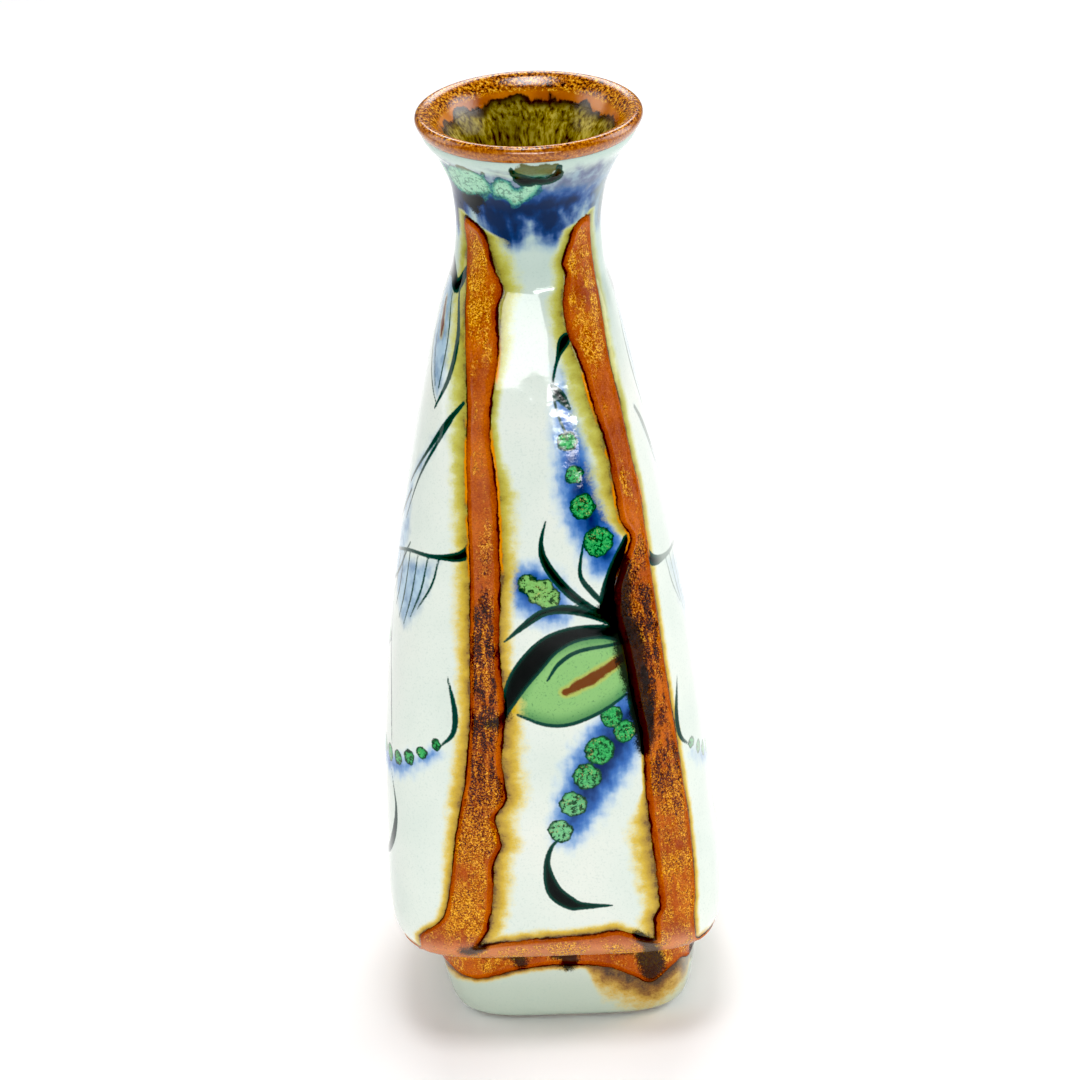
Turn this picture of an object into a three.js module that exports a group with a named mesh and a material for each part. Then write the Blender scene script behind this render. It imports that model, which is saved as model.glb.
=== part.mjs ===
// Hand-built stoneware bottle vase: a recessed squared foot, a four-sided body that swells
// low down and tapers to a round throat, and a flared mouth with a rolled lip.
// The fired clay is three sections. Each glaze is a separate coat on it, with its own edges:
// four painted panels, four raised corner bands, belts, neck, rim and throat.
// Millimetres, +Z up, origin on the table under the middle of the vase, front face towards -Y.
import * as THREE from 'three';

// ---------------------------------------------------------------- driving dimensions

const LEDGE_Z = 23;          // the body overhangs the foot at this height
const BELT_TOP_Z = 31.4;     // top edge of the brown belt round the foot of the body
const FOOT_BELT_Z = 12.6;    // lower edge of the brown belt on the foot
const CLAY_JOINT_Z = 204.85; // body and neck are luted together in the throat
const PANEL_TOP_Z = 219.6;   // painted panels and corner bands end on the neck
const NECK_TOP_Z = 235.4;    // the rim glaze starts here, under the lip
const BORE_TOP_Z = 233.8;    // the rim glaze ends here, inside the mouth
const LINER_BOTTOM_Z = 156;  // the liner glaze is carried down to the shoulder
const FLOOR_Z = 8;           // top of the floor inside the foot
const RECESS_DEPTH = 2;      // shallow hollow under the foot
const FOOT_RING_INNER = 21;  // half width of that hollow

const COAT = 0.7;            // thickness of a glaze coat
const LINER_COAT = 0.55;     // the liner glaze is thinner
const AIR = 0.25;            // clearance between a coat and the clay behind it
const BAND_RISE = 0.6;       // the brown glaze stands this proud of the panels
const SEAM = 0.3;            // gap between neighbouring coats or clay sections

// Height against half width across the flats, on the outside of the glazed body.
const BODY = [
  [23, 33.5], [25.5, 40.3], [30.5, 42.8], [38, 43.2], [52, 42.5], [77, 41], [106, 37.8],
  [135, 33.2], [160, 28.6], [179, 24.5], [191, 21.4], [201, 18.7], [210, 17.9], [220, 18.9],
  [230, 22.9], [235.6, 26.4],
];

// The same for the outside of the glazed foot.
const FOOT = [[0, 27], [1, 29.1], [3, 30.8], [8, 32.3], [15, 33.2], [23, 33.4]];

// The same for the bore, from the foot's hollow up to the mouth.
const BORE = [
  [8, 26], [23, 27.6], [31, 35.6], [38, 36.8], [77, 35], [106, 31.8], [135, 27.4], [160, 22.9],
  [179, 19.2], [191, 16.5], [201, 14.2], [210, 13.4], [218, 14], [225, 15.6], [230, 17.6],
  [234, 19.9],
];

// Height against the exponent of the plan's superellipse: 2 is round, 5 is nearly square.
const SQUARENESS = [
  [23, 4.8], [38, 4.2], [77, 3.6], [120, 3.2], [160, 3], [191, 2.8], [203, 2.4], [212, 2],
];
const FOOT_SQUARENESS = 4.6;

// Height against the sideways wander of the centre line, as left by the hand building.
const CENTRE_LINE = [
  [0, 2.6], [22, 1.9], [26, 0.3], [45, -0.5], [77, -1.7], [135, -2.2], [180, -1.9], [210, -0.9],
  [240, 0.1],
];

// Height against the two edges of a corner band, in degrees about +Z. The front is at -90.
const FRONT_LEFT_BAND = [
  [31, -125, -111], [40, -124, -112], [55, -121.5, -106.5], [80, -116, -104.5],
  [110, -115.3, -104.6], [150, -118, -106], [172, -122.5, -110], [190, -131, -110.5],
  [205, -142, -119], [219, -147, -124],
];
const FRONT_RIGHT_BAND = [
  [31, -58.5, -46], [60, -58, -45], [100, -57.2, -44.6], [120, -59, -44.4], [146, -55, -41.4],
  [158, -54.6, -42.4], [172, -58.5, -41.5], [180, -64, -40.6], [190, -66.5, -40.2],
  [205, -62, -34.5], [219, -54, -33.4],
];

// Cross-section of the rim glaze, half width against height: over the lip and into the mouth.
const RIM_OUTSIDE = [
  [26.6, 235.9], [27.4, 237], [27.9, 238.3], [27.6, 239.4], [26.7, 240], [25.4, 239.7],
  [24, 238.8], [22.4, 237.2], [20.3, BORE_TOP_Z + 0.5],
];
const RIM_INSIDE = [
  [21.1, BORE_TOP_Z + 0.5], [23, 236.7], [24.5, 238.1], [25.6, 238.9], [26.4, 239.1],
  [27, 238.3], [26.7, 237.2], [25.9, 235.9],
];

// Rows shared by the clay and its coats, so that they keep their clearance everywhere.
const FOOT_ROWS = [1.6, 4, 9];
const BELT_ROWS = [24.8, 26.4, 28.6, BELT_TOP_Z];
const LOWER_ROWS = [31.7, 40, 53, 68, 85, 103, 121, 139];
const UPPER_ROWS = [LINER_BOTTOM_Z, 169, 180, 190, 198, CLAY_JOINT_Z - SEAM / 2];
const NECK_ROWS = [CLAY_JOINT_Z + SEAM / 2, 212, PANEL_TOP_Z - 0.1];
const FLARE_ROWS = [PANEL_TOP_Z + 0.2, 225, 230, NECK_TOP_Z];
const MOUTH_ROWS = [225, 230, BORE_TOP_Z];

// Columns across each span between band edges, starting at the front left band.
const BAND_COLUMNS = 2;
const NARROW_COLUMNS = 5;
const WIDE_COLUMNS = 9;

const COLOURS = {
  clay: 0xd8cdb8,
  panel: 0xdfe8e0,
  brown: 0xb5581b,
  neck: 0x7f93a8,
  rim: 0xb4661c,
  liner: 0x8a7a24,
  foot: 0xcdd8d2,
};

// ---------------------------------------------------------------- tables and surfaces

const radians = (degrees) => (degrees * Math.PI) / 180;

// Slope of a table at one of its rows, flattened at turning points so that curves don't overshoot.
function slopeAt(table, row, column) {
  if (row === 0 || row === table.length - 1) return 0;
  const [before, here, after] = [table[row - 1], table[row], table[row + 1]];
  const below = (here[column] - before[column]) / (here[0] - before[0]);
  const above = (after[column] - here[column]) / (after[0] - here[0]);
  if (below * above <= 0) return 0;
  return (2 * below * above) / (below + above);
}

// Value of a table's column at height z, by cubic interpolation; constant beyond its ends.
function valueAt(table, z, column = 1) {
  const last = table.length - 1;
  if (z <= table[0][0]) return table[0][column];
  if (z >= table[last][0]) return table[last][column];
  const row = table.findIndex((entry) => entry[0] > z) - 1;
  const [start, end] = [table[row], table[row + 1]];
  const span = end[0] - start[0];
  const t = (z - start[0]) / span;
  const startSlope = slopeAt(table, row, column) * span;
  const endSlope = slopeAt(table, row + 1, column) * span;
  return (
    (2 * t ** 3 - 3 * t ** 2 + 1) * start[column] +
    (t ** 3 - 2 * t ** 2 + t) * startSlope +
    (3 * t ** 2 - 2 * t ** 3) * end[column] +
    (t ** 3 - t ** 2) * endSlope
  );
}

const bodyAt = (z) => valueAt(BODY, z);
const boreAt = (z) => valueAt(BORE, z);
const footAt = (z) => valueAt(FOOT, z);

// Point of the squared plan at an angle and height, for a half width across the flats.
function pointOn(angle, z, halfWidth) {
  const power = z < LEDGE_Z ? FOOT_SQUARENESS : valueAt(SQUARENESS, z);
  const shape = Math.abs(Math.cos(angle)) ** power + Math.abs(Math.sin(angle)) ** power;
  const radius = halfWidth / shape ** (1 / power);
  return [valueAt(CENTRE_LINE, z) + radius * Math.cos(angle), radius * Math.sin(angle), z];
}

// Band edges in order round the vase. The back bands are the front ones turned half a turn.
function bandEdges(z) {
  const front = [FRONT_LEFT_BAND, FRONT_RIGHT_BAND].flatMap((band) => [
    radians(valueAt(band, z, 1)),
    radians(valueAt(band, z, 2)),
  ]);
  return [...front, ...front.map((angle) => angle + Math.PI)];
}

const SPANS = [
  ['band_front_left', BAND_COLUMNS], ['panel_front', NARROW_COLUMNS],
  ['band_front_right', BAND_COLUMNS], ['panel_right', WIDE_COLUMNS],
  ['band_back_right', BAND_COLUMNS], ['panel_back', NARROW_COLUMNS],
  ['band_back_left', BAND_COLUMNS], ['panel_left', WIDE_COLUMNS],
];

// Angles of all the columns at height z. They follow the edges of the bands.
function columnAngles(z) {
  const edges = bandEdges(z);
  const closing = edges[0] + 2 * Math.PI;
  return SPANS.flatMap(([, count], span) => {
    const start = edges[span];
    const end = span + 1 < edges.length ? edges[span + 1] : closing;
    return Array.from({ length: count }, (_, i) => start + ((end - start) * i) / count);
  });
}

// ---------------------------------------------------------------- solids

function makeMesh(name, colour, positions, indices) {
  const geometry = new THREE.BufferGeometry();
  geometry.setAttribute('position', new THREE.Float32BufferAttribute(positions.flat(), 3));
  geometry.setIndex(indices);
  geometry.computeVertexNormals();
  const mesh = new THREE.Mesh(geometry, new THREE.MeshStandardMaterial({ color: colour }));
  mesh.name = name;
  return mesh;
}

const quad = (a, b, c, d) => [a, b, c, a, c, d];

// One ring of points round the vase for a profile entry [halfWidth, z].
const ringPoints = ([halfWidth, z]) => columnAngles(z).map((angle) => pointOn(angle, z, halfWidth));

function bandOfQuads(lower, upper, columns) {
  const indices = [];
  for (let i = 0; i < columns; i += 1) {
    const next = (i + 1) % columns;
    indices.push(...quad(lower + i, lower + next, upper + next, upper + i));
  }
  return indices;
}

// Solid ring from a closed profile that runs up the outside and down the inside.
function sweepRing(name, colour, profile) {
  const rings = profile.map(ringPoints);
  const columns = rings[0].length;
  const indices = rings.flatMap((_, row) => {
    const above = (row + 1) % rings.length;
    return bandOfQuads(row * columns, above * columns, columns);
  });
  return makeMesh(name, colour, rings.flat(), indices);
}

// Solid from a profile whose two ends are closed on the centre line at the given heights.
function sweepCup(name, colour, bottomZ, profile, topZ) {
  const rings = profile.map(ringPoints);
  const columns = rings[0].length;
  const lastRing = (rings.length - 1) * columns;
  const bottomPole = rings.length * columns;
  const indices = rings.slice(1).flatMap((_, row) => (
    bandOfQuads(row * columns, (row + 1) * columns, columns)
  ));
  for (let i = 0; i < columns; i += 1) {
    const next = (i + 1) % columns;
    indices.push(bottomPole, next, i);
    indices.push(bottomPole + 1, lastRing + i, lastRing + next);
  }
  const poles = [bottomZ, topZ].map((z) => [valueAt(CENTRE_LINE, z), 0, z]);
  return makeMesh(name, colour, [...rings.flat(), ...poles], indices);
}

// Closed coat over a run of columns, between two offsets from the outside of the body.
function coatPatch(name, colour, firstColumn, columnCount, rows, inner, outer) {
  const layer = (offset) => rows.flatMap((z) => {
    const angles = columnAngles(z);
    const halfWidth = bodyAt(z) + offset;
    const inset = SEAM / 2 / halfWidth;
    return Array.from({ length: columnCount + 1 }, (_, i) => {
      const column = firstColumn + i;
      const turn = column >= angles.length ? 2 * Math.PI : 0;
      const shift = i === 0 ? inset : i === columnCount ? -inset : 0;
      return pointOn(angles[column % angles.length] + turn + shift, z, halfWidth);
    });
  });
  const width = columnCount + 1;
  const under = rows.length * width;
  const indices = [];
  for (let row = 0; row + 1 < rows.length; row += 1) {
    for (let i = 0; i < columnCount; i += 1) {
      const [a, b] = [row * width + i, row * width + i + 1];
      const [c, d] = [b + width, a + width];
      indices.push(...quad(a, b, c, d));
      indices.push(under + a, under + c, under + b, under + a, under + d, under + c);
    }
    const [left, right] = [row * width, row * width + columnCount];
    indices.push(...quad(left, left + width, under + left + width, under + left));
    indices.push(...quad(right + width, right, under + right, under + right + width));
  }
  const top = (rows.length - 1) * width;
  for (let i = 0; i < columnCount; i += 1) {
    indices.push(...quad(i + 1, i, under + i, under + i + 1));
    indices.push(...quad(top + i, top + i + 1, under + top + i + 1, under + top + i));
  }
  return makeMesh(name, colour, [...layer(outer), ...layer(inner)], indices);
}

// Closed coat all the way round, between two half-width functions of height.
function coatRing(name, colour, rows, innerAt, outerAt) {
  const outside = rows.map((z) => [outerAt(z), z]);
  const inside = rows.map((z) => [innerAt(z), z]).reverse();
  return sweepRing(name, colour, [...outside, ...inside]);
}

// ---------------------------------------------------------------- the clay

const CLAY_INSET = COAT + AIR;

function footClay() {
  const rows = [...FOOT_ROWS, FOOT_BELT_Z, LEDGE_Z - SEAM / 2];
  const profile = [
    [FOOT_RING_INNER, RECESS_DEPTH],
    [FOOT_RING_INNER + 1, 0],
    [footAt(0) - 1.5, 0],
    ...rows.map((z) => [footAt(z) - CLAY_INSET, z]),
    [boreAt(LEDGE_Z), LEDGE_Z - SEAM / 2],
    [boreAt(FLOOR_Z), FLOOR_Z + 1.5],
    [boreAt(FLOOR_Z) - 2, FLOOR_Z],
  ];
  return sweepCup('foot_clay', COLOURS.clay, RECESS_DEPTH, profile, FLOOR_Z);
}

function bodyClay() {
  const rows = [LEDGE_Z + SEAM / 2, ...BELT_ROWS, ...LOWER_ROWS, ...UPPER_ROWS];
  const bore = [LEDGE_Z + SEAM / 2, ...LOWER_ROWS, ...UPPER_ROWS].reverse();
  return sweepRing('body_clay', COLOURS.clay, [
    ...rows.map((z) => [bodyAt(z) - CLAY_INSET, z]),
    ...bore.map((z) => [boreAt(z) + CLAY_INSET, z]),
  ]);
}

function neckClay() {
  const outside = [...NECK_ROWS, ...FLARE_ROWS].map((z) => [bodyAt(z) - CLAY_INSET, z]);
  const lip = RIM_INSIDE.slice(1, -1).reverse().map(([halfWidth, z]) => {
    const towardsCore = new THREE.Vector2(25.3 - halfWidth, 237.6 - z).normalize();
    return [halfWidth + towardsCore.x * AIR, z + towardsCore.y * AIR];
  });
  const inside = [...NECK_ROWS, ...MOUTH_ROWS].reverse().map((z) => [boreAt(z) + CLAY_INSET, z]);
  return sweepRing('neck_clay', COLOURS.clay, [...outside, ...lip, ...inside]);
}

// ---------------------------------------------------------------- the glazes

function bodyCoats() {
  const rows = [...LOWER_ROWS, ...UPPER_ROWS, ...NECK_ROWS];
  let column = 0;
  return SPANS.map(([name, count]) => {
    const isBand = name.startsWith('band');
    const colour = isBand ? COLOURS.brown : COLOURS.panel;
    const coat = coatPatch(name, colour, column, count, rows, -COAT, isBand ? BAND_RISE : 0);
    column += count;
    return coat;
  });
}

function beltCoats() {
  const footRows = [...FOOT_ROWS, FOOT_BELT_Z - SEAM];
  const footBeltRows = [FOOT_BELT_Z, LEDGE_Z - SEAM];
  const underBody = (z) => bodyAt(z) - COAT;
  const underFoot = (z) => footAt(z) - COAT;
  return [
    coatRing('base_belt', COLOURS.brown, BELT_ROWS, underBody, (z) => bodyAt(z) + BAND_RISE),
    coatRing('foot_belt', COLOURS.brown, footBeltRows, underFoot, (z) => footAt(z) + BAND_RISE / 2),
    coatRing('foot_glaze', COLOURS.foot, footRows, underFoot, footAt),
  ];
}

function mouthCoats() {
  const linerRows = [...UPPER_ROWS, ...NECK_ROWS.slice(1), ...MOUTH_ROWS];
  return [
    coatRing('neck_glaze', COLOURS.neck, FLARE_ROWS, (z) => bodyAt(z) - COAT, bodyAt),
    sweepRing('rim_glaze', COLOURS.rim, [...RIM_OUTSIDE, ...RIM_INSIDE]),
    coatRing('liner_glaze', COLOURS.liner, linerRows, boreAt, (z) => boreAt(z) + LINER_COAT),
  ];
}

const group = new THREE.Group();
group.name = 'bottle_vase';
[footClay(), bodyClay(), neckClay(), ...bodyCoats(), ...beltCoats(), ...mouthCoats()]
  .forEach((mesh) => group.add(mesh));

export default group;
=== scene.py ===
import math

import bpy
import numpy as np
from mathutils import Matrix, Vector


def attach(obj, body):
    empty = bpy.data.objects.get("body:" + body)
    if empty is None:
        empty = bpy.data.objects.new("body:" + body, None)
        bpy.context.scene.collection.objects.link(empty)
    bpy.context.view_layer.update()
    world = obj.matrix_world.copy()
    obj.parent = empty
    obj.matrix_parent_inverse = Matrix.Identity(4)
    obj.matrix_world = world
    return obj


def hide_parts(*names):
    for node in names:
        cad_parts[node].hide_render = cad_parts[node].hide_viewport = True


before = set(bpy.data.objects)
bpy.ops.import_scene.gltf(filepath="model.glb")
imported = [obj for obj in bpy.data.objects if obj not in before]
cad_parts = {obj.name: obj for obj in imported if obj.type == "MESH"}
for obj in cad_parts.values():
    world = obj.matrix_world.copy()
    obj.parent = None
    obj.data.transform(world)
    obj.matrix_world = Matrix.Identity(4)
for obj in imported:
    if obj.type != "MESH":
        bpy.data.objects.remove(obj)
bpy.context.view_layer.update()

# ---- dimensions, millimetres

TOP_Z = 240.0
LEDGE_Z = 23.0  # the body overhangs the foot here
BELT_BOTTOM_Z, BELT_TOP_Z = 23.15, 31.5  # the belt coat, below the panels and bands
FOOT_BOTTOM_Z, FOOT_SEAM_Z, FOOT_TOP_Z = 0.9, 12.5, 22.9  # the two coats on the foot
COAT_TOP_Z = 219.6  # panels and bands end on the neck
NECK_TOP_Z = 235.7
LINER_BOTTOM_Z, LINER_TOP_Z = 156.0, 234.2
COAT, LINER_COAT = 0.7, 0.55  # glaze thicknesses
BAND_RISE, FOOT_RISE = 0.5, 0.3  # how proud the brown glaze stands
EDGE_ROLL, EDGE_ROLL_PLACE, EDGE_ROLL_WIDTH = 0.16, 1.1, 0.6  # its fuller edge
RIPPLES = [(3, 26, 0.06), (4, 7, 0.015)]  # seed, size and height of the uneven surface
BROWN_RIPPLE = (6, 4, 0.05)  # and of the brown glaze's own
SEAM_MARGIN = 1.8  # a band's coat reaches this far past its brown edge
CLAY_GAP = 0.1  # between the foot's clay and its glaze
COARSE = 8  # the hidden underside of a coat has one point for this many outside
RIM_COLUMNS, LINER_COLUMNS, LINER_ROWS, FOOT_COLUMNS = 360, 288, 120, 320
SHARP_ANGLE = 50  # degrees; the swept sections keep sharper corners than this crisp

# Height against half width across the flats: glazed body, glazed foot and bore.
BODY = [
    (23, 33.5), (25.5, 40.3), (30.5, 42.8), (38, 43.2), (52, 42.5), (77, 41), (106, 37.8),
    (135, 33.2), (160, 28.6), (179, 24.5), (191, 21.4), (201, 18.7), (210, 17.9), (220, 18.9),
    (230, 22.9), (235.6, 26.4),
]
FOOT = [(0, 27), (1, 29.1), (3, 30.8), (8, 32.3), (15, 33.2), (23, 33.4)]
BORE = [
    (8, 26), (23, 27.6), (31, 35.6), (38, 36.8), (77, 35), (106, 31.8), (135, 27.4), (160, 22.9),
    (179, 19.2), (191, 16.5), (201, 14.2), (210, 13.4), (218, 14), (225, 15.6), (230, 17.6),
    (234, 20.4), (238, 23),
]
# The foot's clay, half width against height: recess and standing ring, then the inside's floor.
FOOT_UNDERSIDE = [
    (0.5, 2), (21, 2), (21.3, 1), (21.7, 0.25), (22.2, 0), (25.3, 0), (26.4, 0.15), (27.2, 0.6),
]
FOOT_INSIDE = [(27.6, 22.8), (26.2, 10), (25.4, 8.4), (24, 8), (0.5, 8)]
FOOT_SIDE_Z = (1.6, 4, 9, 15, 22.8)
# Height against the exponent of the plan's superellipse, and the wander of the centre line.
SQUARENESS = [
    (23, 4.8), (38, 4.2), (77, 3.6), (120, 3.2), (160, 3), (191, 2.8), (203, 2.4), (212, 2),
]
FOOT_SQUARENESS = 4.6
CENTRE_LINE = [
    (0, 2.6), (22, 1.9), (26, 0.3), (45, -0.5), (77, -1.7), (135, -2.2), (180, -1.9), (210, -0.9),
    (240, 0.1),
]
# Half width against height round the rim's coat: over the lip and in, then back along the clay.
RIM_OUTSIDE = [
    (26.6, 235.9), (27.4, 237), (27.9, 238.3), (27.6, 239.4), (26.7, 240), (25.4, 239.7),
    (24, 238.8), (22.4, 237.2), (20.58, 234.25),
]
RIM_INSIDE = [
    (21.2, 234.25), (23, 236.7), (24.5, 238.1), (25.6, 238.9), (26.4, 239.1), (27, 238.3),
    (26.7, 237.2), (25.9, 235.9),
]

# Edges of the two front bands: height against distance round the vase from the front centre.
LEFT_BAND = (
    [(31, -36), (34, -33), (36, -30.5), (39, -28.3), (49, -25.8), (57, -24.4), (63, -23.2),
     (69, -21.8), (77, -20), (85, -18.9), (93, -18), (114, -17), (134, -16.2), (156, -16.2),
     (173, -15.6), (196, -16.5), (208, -17.5), (216, -18.9)],
    [(28, -21), (35, -17.5), (45, -15.4), (54, -14.4), (59, -12.1), (66, -13.2), (72, -9.9),
     (82, -10.5), (96, -9.2), (109, -9.7), (134, -8.6), (149, -8.6), (166, -9.9), (174, -9.2),
     (186, -7.4), (195, -7.6), (200, -6.4), (205, -8.3), (211, -10.4), (218, -11.6)],
)
RIGHT_BAND = (
    [(30, 24.7), (36, 24.8), (40, 26.4), (58, 25.8), (75, 25.1), (85, 25.1), (96, 23.5),
     (110, 21.4), (120, 19.4), (125, 19.6), (130, 21.4), (137, 24.3), (142, 21.7), (152, 20.2),
     (160, 18.9), (167, 16.7), (173, 14.9), (180, 13.1), (186, 10.7), (191, 8.9), (197, 8.3),
     (203, 8.9), (206, 8.1), (211, 10.1), (215, 11.2), (219, 12.7)],
    [(34, 35.7), (41, 36.7), (57, 37.2), (74, 36), (82, 35.2), (99, 33.2), (120, 31.2),
     (137, 29.5), (145, 28.9), (158, 26.2), (170, 23.7), (182, 21), (196, 19.2), (206, 17.7),
     (217, 17.4)],
)
BAND_TOP_Z = 217.4
BAND_TOP_SLOPE = 0.4
BAND_TOP_BLUNTNESS = 0.85
CORNER_ROUND, JOIN_ROUND = 2.5, 1.2  # rounding at a band's top, and where glaze fields join

# Width of the ochre fringe on each side of the two bands, against height.
LEFT_FRINGE = (
    [(35, 2), (57, 2.5), (76, 3.6), (98, 3), (124, 4), (149, 4), (173, 5), (194, 6), (216, 3)],
    [(32, 4), (55, 4.5), (71, 4.8), (85, 5), (96, 4), (111, 3), (124, 3), (139, 4), (149, 4.2),
     (162, 2), (174, 1.8), (188, 3), (198, 4), (207, 5), (218, 3)],
)
RIGHT_FRINGE = (
    [(36, 3.6), (47, 5), (56, 5.4), (63, 5), (68, 2.6), (73, 0.7), (128, 0.6), (140, 2.6), (153, 4.8),
     (173, 4.8), (188, 3.8), (207, 2.5), (218, 2)],
    [(35, 1.5), (100, 1.6), (160, 2.4), (200, 3), (218, 2)],
)

# The four bands: start in half turns, edges, fringe widths, side that ends lower, wander seed.
BANDS = [
    (0, LEFT_BAND, LEFT_FRINGE, 1, 0),
    (0, RIGHT_BAND, RIGHT_FRINGE, 0, 0),
    (1, LEFT_BAND, LEFT_FRINGE, 1, 31),
    (1, RIGHT_BAND, RIGHT_FRINGE, 0, 47),
]

# Top edge of the belt across the front, and lower edge of the brown on the foot. The edges run
# at one height round the other faces.
BELT_EDGE = [
    (-34, 33.6), (-24, 30.5), (-20, 30.2), (-16, 31), (-8, 31.8), (0, 32.3), (5, 32.6), (10, 33),
    (14.6, 33.8), (18.6, 32.4), (22, 30.8), (26, 30), (34, 32),
]
FOOT_EDGE = [
    (-34, 15), (-25, 14), (-18, 15.6), (-12, 17.4), (-2, 18.4), (6, 18), (11, 17), (16, 14.6),
    (21, 11.6), (27, 15), (33, 17),
]
BELT_EDGE_ROUND, FOOT_EDGE_ROUND = 26.5, 16
BELT_FRONT, FOOT_FRONT = (30, 8), (29, 6)  # the front's edge reaches the first, fades over the second
BELT_GIRTH, FOOT_GIRTH = 300, 260  # rounded girths, which the edges' waves run over
BELT_FRINGE = 2.2
FOOT_FRINGE, FOOT_CORNER_BLEED, FOOT_OTHER_BLEED = 1.4, 9, 2.5
NECK_WASH = (218.5, 232.6)  # lower and upper edge of the wash round the neck

# ---- look, light and camera

SHEEN = 0.32  # strength of mirror reflections seen square on
LEDGE_SHEEN, THROAT_SHEEN, MOUTH_SHEEN = 1.0, 0.2, 0.75  # where the glaze has run together
RIGHT_SIDE_PAINTED_GLARE = 0.45  # share of the pale ground laid over the right face's painting: painted glare, the right light's washed-out look

FLOOR_SIZE = 12  # metres
FLOOR_CENTRE = (0, 400, 0)  # painted pool of light: the paper is painted whitest here, behind the vase
FLOOR_BRIGHT, FLOOR_DIM = 480, 900  # distances from there at which the painted light starts and ends dimming

WORLD_STRENGTH = 0.26
LIGHT_AIM = Vector((0, 0, 0.14))
# Name, place, width and height in metres, power in watts.
SOFTBOXES = [
    ("front_box", (-0.105, -1.0, 0.34), (0.39, 0.23), 3.3),
    ("front_low_box", (0.21, -1.0, 0.19), (0.34, 0.036), 1.7),
    ("front_sill_box", (0.2, -1.0, 0.14), (0.28, 0.012), 0.35),
    ("left_box", (-0.95, 0.15, 0.5), (0.6, 0.9), 3.2),
    ("right_box", (0.95, 0.2, 0.5), (0.6, 0.9), 6.5),
    ("top_box", (-0.03, -0.12, 1.0), (0.3, 0.34), 3.3),
    ("back_box", (0, 0.85, 0.95), (0.9, 0.5), 8),
]
BLACK_LEVEL = (0.02, 0.02, 0.02)

CAMERA_AZIMUTH, CAMERA_ELEVATION, CAMERA_ROLL = 0.58, 25.41, 2.2  # degrees
CAMERA_DISTANCE = 1.2
CAMERA_AIM = Vector((-0.0011, 0, 0.1236))
CAMERA_LENS, CAMERA_SENSOR = 157.5, 36


# ---- curves and the surface

def curve(table, x, column=1):
    """Smooth curve through a table, without overshoot; constant beyond its ends."""
    knots = np.array([row[0] for row in table], float)
    values = np.array([row[column] for row in table], float)
    steps = np.diff(knots)
    slopes = np.diff(values) / steps
    product = slopes[:-1] * slopes[1:]
    total = slopes[:-1] + slopes[1:]
    inner = np.where(product > 0, 2 * product / np.where(total == 0, 1, total), 0)
    tangents = np.concatenate([[0], inner, [0]])
    x = np.clip(np.asarray(x, float), knots[0], knots[-1])
    i = np.clip(np.searchsorted(knots, x, "right") - 1, 0, len(steps) - 1)
    t = (x - knots[i]) / steps[i]
    return (
        (2 * t**3 - 3 * t**2 + 1) * values[i]
        + (t**3 - 2 * t**2 + t) * tangents[i] * steps[i]
        + (3 * t**2 - 2 * t**3) * values[i + 1]
        + (t**3 - t**2) * tangents[i + 1] * steps[i]
    )


def wave(x, seed, size, amount):
    """Gentle irregular wave along x."""
    rng = np.random.default_rng(seed)
    total = 0
    for octave in range(4):
        pitch = size / 1.7**octave
        total = total + np.sin(x / pitch * math.tau + rng.uniform(0, math.tau)) / 1.5**octave
    return total * amount / 2.2


def ripple(s, z, seed, size, amount):
    """Gentle irregular wave over the surface."""
    rng = np.random.default_rng(seed)
    total = 0
    for _ in range(7):
        turn = rng.uniform(0, math.pi)
        pitch = size * rng.uniform(0.6, 1.6)
        along = s * math.cos(turn) + z * math.sin(turn)
        total = total + np.sin(along / pitch * math.tau + rng.uniform(0, math.tau))
    return total * amount / 4


def smooth_min(a, b, reach):
    """The smaller of the two, with the join rounded."""
    h = np.clip(0.5 + 0.5 * (b - a) / reach, 0, 1)
    return b + (a - b) * h - reach * h * (1 - h)


def rise(t):
    """Smooth change from 0 to 1 as t goes from 0 to 1."""
    t = np.clip(t, 0, 1)
    return t * t * (3 - 2 * t)


def plan(angle, z, half_width):
    """Points of the squared plan, in millimetres."""
    power = np.where(z < LEDGE_Z, FOOT_SQUARENESS, curve(SQUARENESS, z))
    shape = np.abs(np.cos(angle)) ** power + np.abs(np.sin(angle)) ** power
    radius = half_width / shape ** (1 / power)
    x = curve(CENTRE_LINE, z) + radius * np.cos(angle)
    return np.stack([x, radius * np.sin(angle), z + 0 * radius], -1)


TURN = np.linspace(-math.pi / 2, 1.5 * math.pi, 1441)


def lengths_round(rows, profile):
    """Distance round the vase from the front centre, for every angle in TURN, row by row."""
    z = rows[:, None] + 0 * TURN
    points = plan(TURN + 0 * z, z, curve(profile, z))
    steps = np.linalg.norm(np.diff(points, axis=1), axis=-1)
    return np.concatenate([np.zeros((len(rows), 1)), np.cumsum(steps, 1)], 1)


def angles_at(lengths, s):
    """Angles of the points that lie these distances round, row by row."""
    girth = lengths[:, -1:]
    wrapped = np.mod(s, girth)
    return np.stack([np.interp(wrapped[i], lengths[i], TURN) for i in range(len(s))])


# ---- where each glaze lies

def band_edges(z, edges, seed):
    """Left and right edge of a band. Every band but the front two wanders by its seed."""
    left = curve(edges[0], z)
    right = curve(edges[1], z)
    if seed:
        left = left + wave(z, seed, 34, 0.8)
        right = right + wave(z, seed + 1, 27, 0.8)
    return left, right


def from_start(s, half_turns, girth):
    """Distance round the vase from a start point, between minus and plus half the girth."""
    return np.mod(s - half_turns * girth / 2 + girth / 2, girth) - girth / 2


def edge_height(near, table, front, around):
    """Height of an edge that follows its table across the front, and runs at another beyond."""
    reach, fade = front
    share = rise((np.abs(near) - reach) / fade)
    return curve(table, near) * (1 - share) + around * share


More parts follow.
